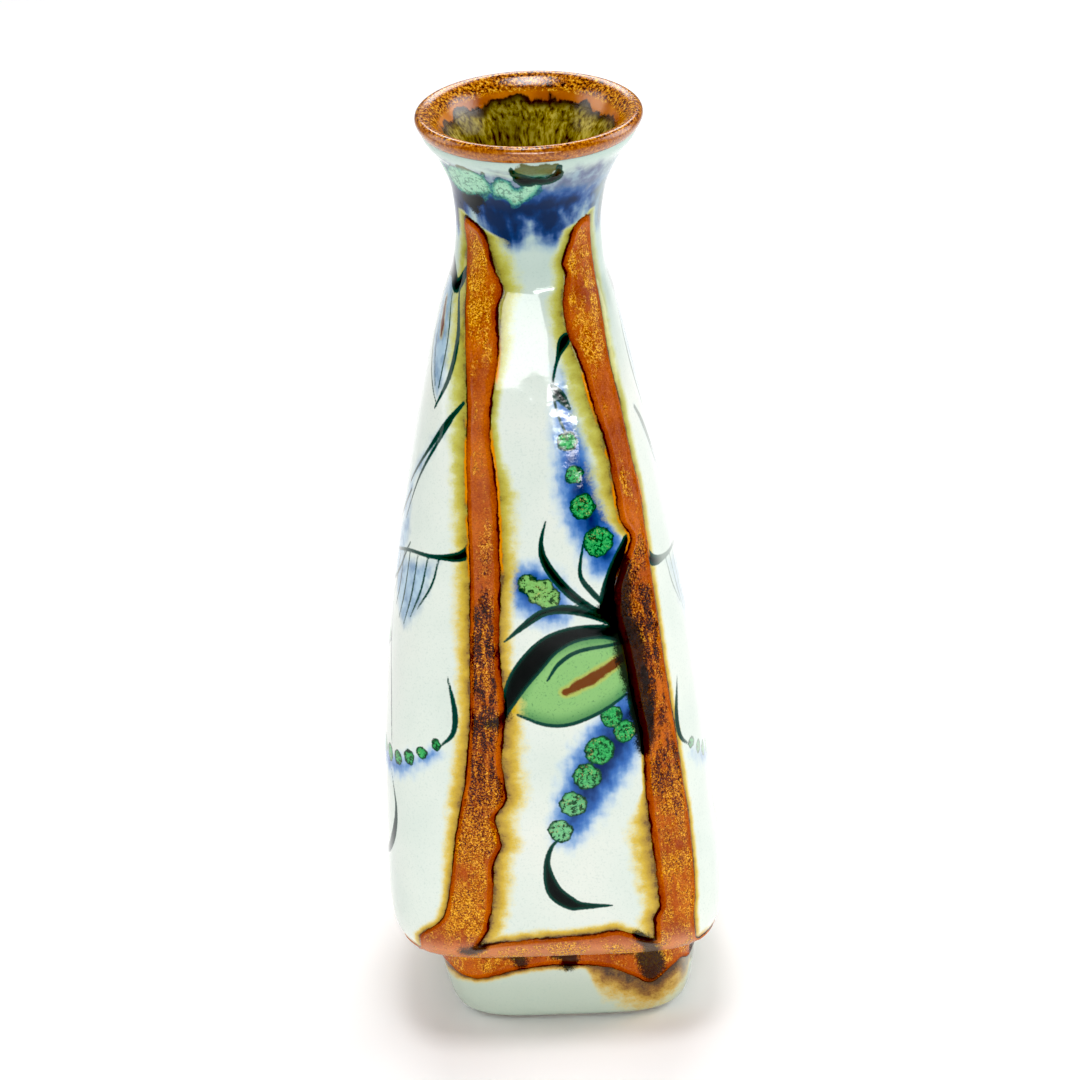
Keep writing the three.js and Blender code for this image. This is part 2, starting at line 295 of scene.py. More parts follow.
def brown_fields(s, z, girth):
    """Signed distance to the brown glaze, and place across the ochre fringe outside it."""
    around = BELT_EDGE_ROUND + wave(s / girth * BELT_GIRTH, 5, 50, 1.1)
    belt = z - edge_height(from_start(s, 0, girth), BELT_EDGE, BELT_FRONT, around)
    distance = belt
    fringe = belt / BELT_FRINGE
    for start, edges, widths, low_side, seed in BANDS:
        here = from_start(s, start, girth)
        left, right = band_edges(z, edges, seed)
        outside = np.stack([left - here, here - right])
        side = np.argmax(outside, 0)
        across = np.max(outside, 0)
        inward = np.maximum(here - left if low_side else right - here, 0)
        top = BAND_TOP_BLUNTNESS * (z - BAND_TOP_Z + BAND_TOP_SLOPE * inward)
        band = -smooth_min(-across, -top, CORNER_ROUND)
        spread = np.where(side == 0, curve(widths[0], z), curve(widths[1], z))
        fringe = np.minimum(fringe, np.maximum(across / spread, top + 1))
        distance = smooth_min(distance, band, JOIN_ROUND)
    return distance, fringe


def foot_fields(s, z, girth):
    """The same for the foot, whose fringe is widest by the right front corner."""
    near = from_start(s, 0, girth)
    along = s / girth * FOOT_GIRTH
    around = FOOT_EDGE_ROUND + wave(along, 9, 44, 1.8)
    distance = edge_height(near, FOOT_EDGE, FOOT_FRONT, around) - z
    corner = rise((near - 4) / 5) * rise((36 - near) / 5)
    spread = FOOT_FRINGE + FOOT_CORNER_BLEED * corner
    spread = spread + FOOT_OTHER_BLEED * rise(wave(along, 15, 60, 1))
    return distance, distance / spread


# ---- the painting

# Each shape is (layer, points), in millimetres across from the front centre line and up. Points
# with a half width make a stroke, one point with a radius a disc, and points alone an outline.
FRONT_PAINTING = [
    ("cobalt", [(8, 180, 2), (8.5, 170, 4), (10.5, 158, 6), (13, 147, 7.5), (18, 134, 7)]),
    ("cobalt", [(22, 94, 6.5), (18, 86, 8.5), (12.6, 78, 8.6), (8, 69, 7), (4, 61, 4.6)]),
    ("cobalt", [(-3.5, 128, 6), (0.6, 125.5, 8), (4, 121.5, 6)]),
    ("ink", [(10.2, 189, 0.5), (8.6, 187.4, 1.5), (7, 183.5, 0.5), (5.7, 177.5, 0.3), (6.4, 171, 0.3),
        (8.6, 165, 0.3)]),
    ("ink", [(5.2, 177.3, 0.3), (7.2, 174.6, 1.3), (9.6, 171.2, 0.4)]),
    ("ink", [(23.6, 136.5, 1.6), (21.6, 130, 3.4), (18.4, 124, 2.6), (17, 119, 1.2)]),
    ("ink", [(2.9, 143.6, 0.15), (1.6, 137.8, 0.6), (2.8, 132.6, 1.1), (7.2, 126.4, 1.2), (12, 122, 1),
        (17.4, 118.4, 0.7)]),
    ("ink", [(12, 137.4, 0.2), (11, 130, 0.5), (13.4, 125.6, 0.7), (18.4, 120, 0.6)]),
    ("ink", [(-8.4, 113.4, 0.2), (-2, 118.4, 0.9), (2.4, 120.8, 1), (8.4, 121, 1.2), (15.4, 118.6, 1),
        (22, 114.8, 0.8)]),
    ("leaf", [(-7.6, 95), (-5.2, 101.5), (-1, 107.6), (4, 111.6), (12, 113.4), (22, 111.8), (24, 104),
        (21, 98), (14.5, 94.2), (6.8, 91.4), (0.6, 91.6)]),
    ("ink", [(-9.6, 93.6, 0.6), (-8, 98, 1.9), (-5.4, 103, 2.8), (-1.6, 107.8, 3.1), (3, 112.2, 2.7),
        (9, 114.6, 2.1), (16, 114.8, 1.8), (24.3, 112.4, 2)]),
    ("ink", [(22.6, 108, 1), (24, 102, 1.9), (23.4, 96, 1.7), (24.6, 90, 1.5), (25.4, 82, 0.8)]),
    ("ink", [(-6, 94.2, 0.3), (0.6, 91.4, 0.45), (6.8, 91.2, 0.45), (14.6, 94, 0.45), (21.4, 98, 0.3)]),
    ("ink", [(1.8, 103, 0.25), (5, 107.4, 0.5), (10.4, 110.4, 0.5), (21, 111.4, 0.4)]),
    ("ink", [(19, 119.5, 1.2), (23.5, 115.5, 2.4), (26, 111, 1.8)]),
    ("blotch", [(6.2, 99.8, 1), (12.4, 102.8, 1.5), (21, 107.6, 0.8)]),
    ("ink", [(2.4, 60, 0.25), (0.2, 57.6, 0.5), (-1.2, 52.6, 0.9), (0, 45.8, 2), (3.6, 42.2, 1.9),
        (6.8, 41.2, 1.1), (14.4, 41, 0.2)]),
]
FRONT_BERRIES = [
    (8.8, 163.2, 2.5), (10.3, 155, 2.3), (12.2, 146.8, 3.2), (15.9, 137.6, 3.8), (-1.9, 128, 2.6),
    (0.8, 125.8, 3.3), (3.2, 124, 2.8), (2.4, 127, 2), (17.4, 92.6, 2.9), (20.6, 88.4, 3),
    (14, 83.9, 3.8), (10.5, 77, 3.6), (6.7, 69.6, 3.5), (2.9, 62.3, 3.2),
]

# The left face: a hanging bud, a plain bird seen from the side, and a spray of berries.
SIDE_PAINTING = [
    ("wash", [(-20, 197), (-18.6, 188), (-21, 178), (-26, 171), (-31.5, 178), (-35, 188), (-34, 197),
        (-27, 201)]),
    ("ink", [(-33, 198, 1), (-27, 201, 2.6), (-21, 198.4, 1.6), (-16.5, 204, 0.7)]),
    ("ink", [(-19.4, 198, 0.3), (-18.5, 188, 0.6), (-21, 178, 0.6), (-26.6, 169, 0.2)]),
    ("ink", [(-34, 198, 0.3), (-35, 188, 0.4), (-31.6, 178, 0.4), (-25.6, 170, 0.2)]),
    ("ink", [(-23, 196, 0.15), (-22.4, 186, 0.25), (-25.2, 174, 0.2)]),
    ("ink", [(-30, 196, 0.15), (-30.4, 186, 0.25), (-27, 174, 0.2)]),
    ("blotch", [(-27.4, 193.5, 0.6), (-27, 189, 1.1), (-26.6, 186, 0.5)]),
    ("wash", [(-17, 172, 0.8), (-27, 160, 1.6), (-38, 148, 2.2), (-44, 138, 3)]),
    ("ink", [(-16.6, 172.6, 0.4), (-22, 166.5, 0.7), (-30, 157, 0.4), (-40, 147, 0.3)]),
    ("ink", [(-20, 168, 0.3), (-27, 158.4, 0.4), (-34, 149, 0.3), (-41, 138, 0.2)]),
    ("wash", [(-38, 146), (-46, 137), (-57, 131), (-66, 132), (-70, 126), (-66, 120), (-56, 118),
        (-45, 124), (-37, 134)]),
    ("ink", [(-38, 146, 0.3), (-47, 137.6, 0.5), (-57, 132, 0.5), (-65, 133, 0.4), (-70.4, 127, 0.4),
        (-76, 125, 0.15)]),
    ("ink", [(-36, 134, 0.2), (-45, 123.6, 0.4), (-56, 117.8, 0.5), (-66, 119.6, 0.4),
        (-70.4, 126, 0.3)]),
    ("ink", [(-66, 127.6, 0.9)]),
    ("ink", [(-14.6, 139, 1), (-18, 135, 1.3), (-25, 133.6, 0.6), (-36, 132, 0.4), (-50, 127, 0.3)]),
    ("wash", [(-24, 133), (-50, 127), (-46, 118), (-38, 112), (-30, 120)]),
    ("ink", [(-24.6, 133, 0.2), (-27, 126, 0.3), (-32, 119, 0.15)]),
    ("ink", [(-28, 132.8, 0.2), (-30.6, 124, 0.3), (-35, 116, 0.15)]),
    ("ink", [(-32, 132, 0.2), (-34.4, 122, 0.3), (-38.4, 113, 0.15)]),
    ("ink", [(-36, 131.4, 0.2), (-38.4, 121, 0.3), (-42, 113, 0.15)]),
    ("ink", [(-40.4, 130, 0.2), (-42.4, 121, 0.3), (-45.6, 115, 0.15)]),
    ("ink", [(-45, 128.6, 0.2), (-46.6, 121, 0.3), (-49, 117, 0.15)]),
    ("ink", [(-23.4, 104, 0.15), (-21.8, 95, 0.7), (-22.6, 89, 0.6), (-26, 85.4, 0.2)]),
    ("cobalt", [(-28, 83, 2), (-36, 78, 2.8), (-46, 74.5, 3.4), (-56, 75, 3), (-64, 79, 2)]),
    ("ink", [(-50, 117, 0.3), (-49, 104, 0.4), (-46, 92, 0.4), (-45, 80, 0.2)]),
    ("leaf", [(-49.6, 106), (-58, 100), (-68, 99), (-76, 103), (-68, 108), (-58, 109)]),
    ("ink", [(-49.4, 105, 0.3), (-58, 109.4, 1.2), (-68, 108.4, 1), (-77, 103, 0.15)]),
    ("ink", [(-49.4, 105, 0.3), (-58, 99.6, 0.5), (-68, 98.6, 0.4), (-76.4, 103, 0.15)]),
    ("ink", [(-45.6, 73, 0.15), (-43, 64, 0.6), (-46, 55, 1.3), (-53, 48, 0.9), (-62, 46, 0.2)]),
]
SIDE_BERRIES = [
    (-27.4, 85.4, 1.5), (-31.6, 82.4, 1.7), (-36, 80, 1.9), (-41, 78.2, 2), (-46.4, 77.2, 2.2),
    (-52, 77.4, 2.2), (-57.4, 78.8, 2.1), (-62.4, 81.4, 1.9),
]

NECK_PAINTING = [
    ("cobalt", [(-11, 220.5, 3.5), (-8, 217.5, 4.6), (-6, 213.5, 3.4), (-5, 211, 1.6)]),
    ("cobalt", [(-5, 220.5, 3.5), (-3.6, 216, 3.6), (-3, 212, 1.8)]),
    ("cobalt", [(3, 220.5, 3), (5, 217.5, 4.6), (5.4, 213.5, 3.2), (6, 211.5, 1.4)]),
    ("cobalt", [(9, 221.5, 2.8), (11, 218, 2.2), (11.4, 215.6, 0.8)]),
    ("cobalt", [(-16, 222.6, 2.2), (-8, 221.6, 4), (2, 221.6, 4), (12, 222, 3)]),
    ("leaf", [(-9.6, 224.6), (-9.8, 228.4), (-7.6, 230.6), (-4.6, 229.8), (-3, 227.6), (-0.8, 230.4),
        (1.8, 230.8), (3.4, 228.6), (1.6, 225.2), (-1.6, 222.4), (-4, 221.6), (-6, 223.4)]),
    ("leaf", [(-24, 224.4), (-25, 229), (-21.4, 232), (-17, 230.6), (-14.4, 226.4), (-14, 223.4),
        (-18, 222.6)]),
    ("leaf", [(-11.6, 231.6, 0.7), (-12, 228.6, 1), (-11.8, 225.4, 0.9), (-11.4, 222.8, 0.5)]),
    ("ink", [(-4.6, 234.2, 0.4), (-3.8, 232, 1.1), (-1.4, 230, 1.9), (1.2, 230, 1.2), (4, 229.4, 1.5),
        (6.6, 230.8, 1.5), (7.4, 234, 0.6)]),
    ("leaf", [(-3.6, 235), (-3.4, 232.6), (-1.4, 231), (1, 230.6), (4, 230.6), (6, 232), (6.6, 235)]),
    ("pool", [(-18, 222, 0.5), (-15.6, 220.8, 0.9), (-14, 219.4, 0.3)]),
]

# Where the brown glaze has pooled almost black: by the front's leaf, and round the ledge. On the foot,
# the strokes along its top, just under the ledge, are painted shade.
FRONT_POOLS = [
    ("pool", [(16.6, 120.4, 0.8), (20, 117.4, 1.8), (22.6, 112, 3), (23.6, 104, 2.6), (25, 96, 2.2),
        (25.4, 89, 2), (25.2, 83, 0.8)]),
    ("pool", [(22, 133, 0.4), (21.8, 127, 1.3), (21, 120, 1.5)]),
    ("pool", [(-9.4, 94.4, 0.4), (-11.4, 92.6, 0.8), (-13.4, 92.2, 0.2)]),
    ("pool", [(-24, 28.2, 0.5), (-21.4, 28.6, 0.9), (-19, 30, 0.2)]),
    ("pool", [(20, 32, 0.2), (22.4, 29.6, 1.2), (23.4, 26, 1)]),
]
FOOT_POOLS_AND_LEDGE_SHADE = [
    # Painted shade: this stroke and the last one run along the foot's top, just under the ledge's
    # overhang.
    ("pool", [(-26, 22.4, 0.3), (-20, 22.6, 0.7), (-11, 22.5, 0.8), (-8, 22.6, 0.2)]),
    ("pool", [(-12.4, 22, 1.5), (-11.8, 20, 1)]),
    ("pool", [(-2, 22.6, 1.4), (0.4, 21.6, 1.7), (0, 18.6, 1)]),
    ("pool", [(19, 22.4, 1.2), (21, 19.6, 2.4), (21.6, 16, 2.3), (20.6, 14.4, 0.8)]),
    ("pool", [(12, 22.7, 0.2), (18, 22.5, 0.6), (28, 22.6, 0.4)]),
]

FRONT_PAINTING += [("berry", [berry]) for berry in FRONT_BERRIES]
SIDE_PAINTING += [("berry", [berry]) for berry in SIDE_BERRIES]

SIDE_SHIFT, SIDE_LIFT = 14, -6  # the right side's painting against the left's, mirrored
BACK_LIFT = -2  # the back's painting against the front's
NECK_LIFT = 0.3  # the neck's painting rises by this from one face to the next

LAYERS = ("ink", "leaf", "cobalt", "berry", "blotch", "wash", "pool")
FAR = 6.0  # distances to a shape are kept within this
TINY = 1e-9


def refine(points, parts=6):
    """The points joined by a smooth curve."""
    p = np.array(points, float)
    ends = np.concatenate([[2 * p[0] - p[1]], p, [2 * p[-1] - p[-2]]])
    t = np.linspace(0, 1, parts, endpoint=False)[:, None]
    pieces = []
    for i in range(len(p) - 1):
        a, b, c, d = ends[i : i + 4]
        pieces.append(
            0.5 * (2 * b + (c - a) * t + (2 * a - 5 * b + 4 * c - d) * t**2
                   + (3 * b - a - 3 * c + d) * t**3)
        )
    return np.concatenate(pieces + [p[-1:]])


def to_line(u, z, start, step):
    """Distance to a line, and how far along it the nearest point lies, from 0 to 1."""
    square = step[0] ** 2 + step[1] ** 2 + TINY
    t = np.clip(((u - start[0]) * step[0] + (z - start[1]) * step[1]) / square, 0, 1)
    return np.hypot(u - start[0] - t * step[0], z - start[1] - t * step[1]), t


def to_stroke(u, z, points):
    """Signed distance to a stroke whose half width changes along it."""
    path = refine(points)
    best = np.full(u.shape, FAR)
    for start, step in zip(path, np.diff(path, axis=0)):
        away, t = to_line(u, z, start, step)
        best = np.minimum(best, away - start[2] - t * step[2])
    return best


def to_patch(u, z, points):
    """Signed distance to the inside of a closed smooth outline."""
    loop = refine(points + points[:1])
    best = np.full(u.shape, FAR)
    inside = np.zeros(u.shape, bool)
    for start, step in zip(loop, np.diff(loop, axis=0)):
        best = np.minimum(best, to_line(u, z, start, step)[0])
        crosses = (start[1] > z) != (start[1] + step[1] > z)
        reach = start[0] + (z - start[1]) * step[0] / (step[1] or TINY)
        inside ^= crosses & (u < reach)
    return np.where(inside, -best, best)


def to_disc(u, z, disc):
    across, up, radius = disc
    return np.hypot(u - across, z - up) - radius


def to_shape(u, z, points):
    if len(points) == 1:
        return to_disc(u, z, points[0])
    if len(points[0]) == 3:
        return to_stroke(u, z, points)
    return to_patch(u, z, points)


def paint(layers, shapes, u, z, flip=1, shift=0, lift=0):
    """Adds shapes to the layers, nearest wins. They can be mirrored, then moved along or up."""
    for layer, points in shapes:
        outline = np.array([p[:2] for p in points], float)
        margin = max([p[2] for p in points if len(p) > 2], default=0) + FAR + 1
        x = (u - shift) * flip
        y = z - lift
        near = (x > outline[:, 0].min() - margin) & (x < outline[:, 0].max() + margin)
        near &= (y > outline[:, 1].min() - margin) & (y < outline[:, 1].max() + margin)
        if near.any():
            found = to_shape(x[near], y[near], points)
            layers[layer][near] = np.minimum(layers[layer][near], found)


def painting(s, z, girth):
    """All paint layers, as distances in millimetres, negative inside a shape."""
    layers = {name: np.full(s.shape, FAR) for name in LAYERS}
    front = from_start(s, 0, girth)
    back = from_start(s, 1, girth)
    paint(layers, FRONT_PAINTING + FRONT_POOLS, front, z)
    paint(layers, FRONT_PAINTING, back, z, lift=BACK_LIFT)
    paint(layers, FRONT_POOLS, back, z)
    paint(layers, SIDE_PAINTING, front, z)
    paint(layers, SIDE_PAINTING, front, z, flip=-1, shift=SIDE_SHIFT, lift=SIDE_LIFT)
    for quarter in range(4):
        u = from_start(s - quarter * girth / 4, 0, girth)
        flip = -1 if quarter % 2 else 1
        paint(layers, FOOT_POOLS_AND_LEDGE_SHADE, u, z, flip)
        paint(layers, NECK_PAINTING, u, z, flip, lift=NECK_LIFT * quarter)
    low, high = NECK_WASH
    neck = np.maximum(low + wave(s, 21, 13, 1.4) - z, z - high - wave(s, 22, 17, 2))
    layers["wash"] = np.minimum(layers["wash"], neck)
    return layers


# ---- meshes

def mesh_from(name, points, quads, triangles, normals=None, layers=None):
    """A smooth mesh from arrays: points in millimetres, faces as vertex numbers."""
    mesh = bpy.data.meshes.new(name)
    corners = np.concatenate([quads.ravel(), triangles.ravel()]).astype(np.int32)
    sizes = np.concatenate([np.full(len(quads), 4), np.full(len(triangles), 3)])
    starts = np.concatenate([[0], np.cumsum(sizes)[:-1]]).astype(np.int32)
    mesh.vertices.add(len(points))
    mesh.vertices.foreach_set("co", (points / 1000).astype(np.float32).ravel())
    mesh.loops.add(len(corners))
    mesh.loops.foreach_set("vertex_index", corners)
    mesh.polygons.add(len(sizes))
    mesh.polygons.foreach_set("loop_start", starts)
    mesh.update(calc_edges=True)
    mesh.polygons.foreach_set("use_smooth", np.ones(len(sizes), bool))
    for title, values in (layers or {}).items():
        attribute = mesh.attributes.new(title, "FLOAT_VECTOR", "POINT")
        attribute.data.foreach_set("vector", values.astype(np.float32).ravel())
    if normals is not None:
        mesh.normals_split_custom_set_from_vertices(normals.astype(np.float32))
    return mesh


def grid_quads(numbers):
    a, b = numbers[:-1, :-1], numbers[:-1, 1:]
    c, d = numbers[1:, 1:], numbers[1:, :-1]
    return np.stack([a, b, c, d], -1).reshape(-1, 4)


def stitch(fine, coarse):
    """Triangles joining an edge of the outside to the matching edge of the underside."""
    triangles = []
    half = COARSE // 2
    for i in range(len(coarse) - 1):
        run = fine[i * COARSE : (i + 1) * COARSE + 1]
        triangles += [(run[j + 1], run[j], coarse[i]) for j in range(half)]
        triangles += [(run[j + 1], run[j], coarse[i + 1]) for j in range(half, COARSE)]
        triangles.append((run[half], coarse[i], coarse[i + 1]))
    return triangles


def coat_mesh(name, outer, under, normals, layers, closed):
    """A closed coat from an outside grid and an underside grid of the same shape.
    A closed grid runs all the way round, without its last column."""
    rows, columns = outer.shape[:2]
    fine = np.arange(rows * columns).reshape(rows, columns)
    if closed:
        fine = np.concatenate([fine, fine[:, :1]], 1)
    thin = under[::COARSE, ::COARSE]
    coarse = rows * columns + np.arange(thin.shape[0] * thin.shape[1]).reshape(thin.shape[:2])
    if closed:
        coarse = np.concatenate([coarse, coarse[:, :1]], 1)
    edges = stitch(fine[0], coarse[0]) + stitch(fine[-1][::-1], coarse[-1][::-1])
    if not closed:
        edges += stitch(fine[::-1, 0], coarse[::-1, 0]) + stitch(fine[:, -1], coarse[:, -1])
    quads = np.concatenate([grid_quads(fine), grid_quads(coarse)[:, ::-1]])
    points = np.concatenate([outer.reshape(-1, 3), thin.reshape(-1, 3)])
    thin_normals = -normals[::COARSE, ::COARSE].reshape(-1, 3)
    all_normals = np.concatenate([normals.reshape(-1, 3), thin_normals])
    full = {}
    for title, values in layers.items():
        thin_values = values[::COARSE, ::COARSE]
        full[title] = np.concatenate([values.reshape(-1, 3), thin_values.reshape(-1, 3)])
    return mesh_from(name, points, quads, np.array(edges), all_normals, full)


def with_ghosts(values):
    """One more value beyond each end, for slopes at the ends."""
    return np.concatenate([[2 * values[0] - values[1]], values, [2 * values[-1] - values[-2]]])


def surface_normals(points):
    across = points[1:-1, 2:] - points[1:-1, :-2]
    up = points[2:, 1:-1] - points[:-2, 1:-1]
    normals = np.cross(across, up)
    return normals / np.linalg.norm(normals, axis=-1, keepdims=True)


def relief(s, z, distance, rise_height):
    """Thickness of the glaze over the plain surface: raised brown glaze with a fuller edge."""
    body = rise(0.25 - distance)
    roll = np.exp(-(((distance + EDGE_ROLL_PLACE) / EDGE_ROLL_WIDTH) ** 2))
    wobble = sum(ripple(s, z, *each) for each in RIPPLES)
    own = body * ripple(s, z, *BROWN_RIPPLE)
    return rise_height * body + EDGE_ROLL * roll + wobble + own


def coat(name, rows, columns, span, profile, fields, rise_height):
    """Mesh of an outer coat. span gives its two side edges at each row, or is None all round."""
    z_rows = with_ghosts(rows)
    lengths = lengths_round(z_rows, profile)
    girth = lengths[:, -1:]
    if span is None:
        t = np.arange(-1, columns + 1) / columns
        s = t[None] * girth
    else:
        t = with_ghosts(np.linspace(0, 1, columns + 1))
        left, right = span(z_rows, girth[:, 0])
        s = left[:, None] + (right - left)[:, None] * t[None]
    z = z_rows[:, None] + 0 * s
    angle = angles_at(lengths, s)
    girths = girth + 0 * s
    distance, fringe = fields(s, z, girths)
    outer = plan(angle, z, curve(profile, z) + relief(s, z, distance, rise_height))
    normals = surface_normals(outer)
    inner = (slice(1, -1), slice(1, -1))
    under = plan(angle[inner], z[inner], curve(profile, z[inner]) - COAT)
    layers = painting(s[inner], z[inner], girths[inner])
    packed = {
        "zone": np.stack([distance[inner], fringe[inner], layers["wash"]], -1),
        "paint": np.stack([layers["ink"], layers["leaf"], layers["cobalt"]], -1),
        "dots": np.stack([layers["berry"], layers["blotch"], layers["pool"]], -1),
    }
    return coat_mesh(name, outer[inner], under, normals, packed, span is None)


def sweep_mesh(name, profile, columns, closed=True):
    """Mesh of a section of (half width, height) points carried round the plan."""
    section = np.array(profile, float)
    angle = TURN[0] + np.arange(columns) / columns * math.tau
    z = section[:, 1:2] + 0 * angle
    points = plan(angle[None] + 0 * z, z, section[:, :1] + 0 * angle)
    numbers = np.arange(points.shape[0] * columns).reshape(points.shape[0], columns)
    numbers = np.concatenate([numbers, numbers[:, :1]], 1)
    if closed:
        numbers = np.concatenate([numbers, numbers[:1]])
    quads = grid_quads(numbers)
    flat = points.reshape(-1, 3)
    triangles = []
    if not closed:
        poles = [plan(np.array(0.0), section[i, 1], 0.0) for i in (0, -1)]
        flat = np.concatenate([flat, np.stack(poles)])
        first, last = len(flat) - 2, len(flat) - 1
        triangles += [(first, numbers[0, i + 1], numbers[0, i]) for i in range(columns)]
        triangles += [(last, numbers[-1, i], numbers[-1, i + 1]) for i in range(columns)]
    mesh = mesh_from(name, flat, quads, np.array(triangles, int).reshape(-1, 3))
    mesh.set_sharp_from_angle(angle=math.radians(SHARP_ANGLE))
    return mesh


# ---- materials

def linear(level):
    """Linear light from an ordinary 0 to 255 level."""
    level /= 255
    return level / 12.92 if level <= 0.04045 else ((level + 0.055) / 1.055) ** 2.4


def colour_of(value):
    """What a colour socket takes: (red, green, blue) from 0 to 255, or a linear grey level."""
    if isinstance(value, tuple):
        return (*[linear(level) for level in value], 1)
    if isinstance(value, float):
        return (value, value, value, 1)
    return value


class Shader:
    """Short names for the nodes used here. Textures work in millimetres."""

    def __init__(self, name):
        self.material = bpy.data.materials.new(name)
        self.material.use_nodes = True
        self.tree = self.material.node_tree
        self.surface = self.tree.nodes["Principled BSDF"]
        place = self.node("ShaderNodeTexCoord").outputs["Object"]
        self.place = self.vector("SCALE", place, scale=1000)

    def node(self, kind, **settings):
        node = self.tree.nodes.new(kind)
        for key, value in settings.items():
            setattr(node, key, value)
        return node

    def put(self, socket, value):
        if isinstance(value, bpy.types.NodeSocket):
            self.tree.links.new(value, socket)
        elif value is not None:
            socket.default_value = value

    def vector(self, operation, value, other=None, scale=None):
        node = self.node("ShaderNodeVectorMath", operation=operation)
        self.put(node.inputs[0], value)
        self.put(node.inputs[1], other)
        if scale is not None:
            self.put(node.inputs["Scale"], scale)
        return node.outputs[0]

    def math(self, operation, a, b=None):
        node = self.node("ShaderNodeMath", operation=operation)
        self.put(node.inputs[0], a)
        self.put(node.inputs[1], b)
        return node.outputs[0]

    def plus(self, a, b):
        return self.math("ADD", a, b)

    def minus(self, a, b):
        return self.math("SUBTRACT", a, b)

    def times(self, a, b):
        return self.math("MULTIPLY", a, b)

    def step(self, value, low, high, start=0.0, end=1.0):
        """Smooth change from start to end as value goes from low to high."""
        node = self.node("ShaderNodeMapRange", interpolation_type="SMOOTHSTEP")
        for socket, item in zip(node.inputs, (value, low, high, start, end)):
            self.put(socket, item)
        return node.outputs[0]

    def jitter(self, value, noise, amount):
        """value moved by up to half of amount either way."""
        return self.plus(value, self.times(self.minus(noise, 0.5), amount))

    def noise(self, size, detail=3.0, stretch=None, roughness=0.5):
        """Noise about 0 to 1 with features of this size; stretch scales the three axes."""
        node = self.node("ShaderNodeTexNoise")
        place = self.place if stretch is None else self.vector("MULTIPLY", self.place, stretch)
        self.put(node.inputs["Vector"], place)
        self.put(node.inputs["Scale"], 1 / size)
        self.put(node.inputs["Detail"], detail)
        self.put(node.inputs["Roughness"], roughness)
        return node.outputs["Fac"]

    def split(self, vector):
        node = self.node("ShaderNodeSeparateXYZ")
        self.put(node.inputs[0], vector)
        return node.outputs[:]

    def layer(self, name):
        """The three painted distances that the mesh carries under this name."""
        return self.split(self.node("ShaderNodeAttribute", attribute_name=name).outputs["Vector"])

    def distance_out(self, centre=(0, 0, 0)):
        """Level distance from the vertical axis, or from another one."""
        flat = self.vector("MULTIPLY", self.vector("SUBTRACT", self.place, centre), (1, 1, 0))
        node = self.node("ShaderNodeVectorMath", operation="LENGTH")
        self.put(node.inputs[0], flat)
        return node.outputs["Value"]

    def mix(self, share, a, b):
        node = self.node("ShaderNodeMix", data_type="RGBA")
        self.put(node.inputs[0], share)
        self.put(node.inputs[6], colour_of(a))
        self.put(node.inputs[7], colour_of(b))
        return node.outputs[2]

    def blend(self, value, *stops):
        """Colour ramp from (position, colour) stops."""
        node = self.node("ShaderNodeValToRGB")
        ramp = node.color_ramp
        while len(ramp.elements) < len(stops):
            ramp.elements.new(0.5)
        for element, (position, colour) in zip(ramp.elements, stops):
            element.position = position
            element.color = colour_of(colour)
        self.put(node.inputs[0], value)
        return node.outputs[0]

    def finish(self, colour, roughness, height=None, depth=0.05, sheen=SHEEN):
        """Sets the surface. A height moves it by up to depth millimetres, as bump."""
        self.put(self.surface.inputs["Base Color"], colour)
        self.put(self.surface.inputs["Roughness"], roughness)
        self.put(self.surface.inputs["Specular IOR Level"], sheen)
        if height is not None:
            bump = self.node("ShaderNodeBump")
            self.put(bump.inputs["Strength"], 1.0)
            self.put(bump.inputs["Distance"], depth / 1000)
            self.put(bump.inputs["Height"], height)
            self.put(self.surface.inputs["Normal"], bump.outputs[0])
        return self.material


class OutsideShader(Shader):
    """Adds the height, the painted layers and the textures that the outside's parts share."""

    def __init__(self, name):
        super().__init__(name)
        self.across, self.along, self.up = self.split(self.place)
        self.brown, self.fringe, self.wash = self.layer("zone")
        self.ink, self.leaf, self.cobalt = self.layer("paint")
        self.berry, self.blotch, self.pool = self.layer("dots")
        self.fine = self.noise(0.55, 4, roughness=0.65)
        self.grain = self.noise(0.44, 5, roughness=0.8)
        self.lumps = self.noise(1.7, 3)
        self.soft = self.noise(3.2, 4)
        self.runs = self.noise(1.5, 3, stretch=(1, 1, 0.2))
        self.spots = self.step(self.noise(1.0, 4, roughness=0.65), 0.51, 0.57)
        self.melted = self.step(self.up, 205, 216)  # how far the paint has run, on the neck


def ground_colour(k):
    """The pale glaze, greener on the neck and the foot, with fine darker specks."""
    broad = k.noise(30, 3)
    ground = k.blend(broad, (0.3, (208, 219, 210)), (0.5, (217, 225, 216)), (0.7, (224, 228, 219)))
    ground = k.mix(k.step(k.up, 165, 215, 0, 0.75), ground, (176, 200, 190))
    ground = k.mix(k.step(k.up, 30, 10, 0, 0.85), ground, (176, 190, 174))
    return k.mix(k.step(k.fine, 0.52, 0.68, 0, 0.22), ground, (150, 176, 168))


def add_wash(k, colour):
    """Thin blue washes on the faces, and a violet one round the neck."""
    tint = k.step(k.jitter(k.jitter(k.wash, k.soft, 3), k.runs, 2.0), 1.2, -3.5, 0, 0.85)
    violet = k.blend(k.soft, (0.3, (48, 58, 104)), (0.5, (84, 92, 134)), (0.7, (136, 160, 178)))
    pale = k.blend(k.soft, (0.35, (96, 136, 176)), (0.6, (160, 192, 214)))
    return k.mix(tint, colour, k.mix(k.step(k.up, 208, 216), pale, violet))


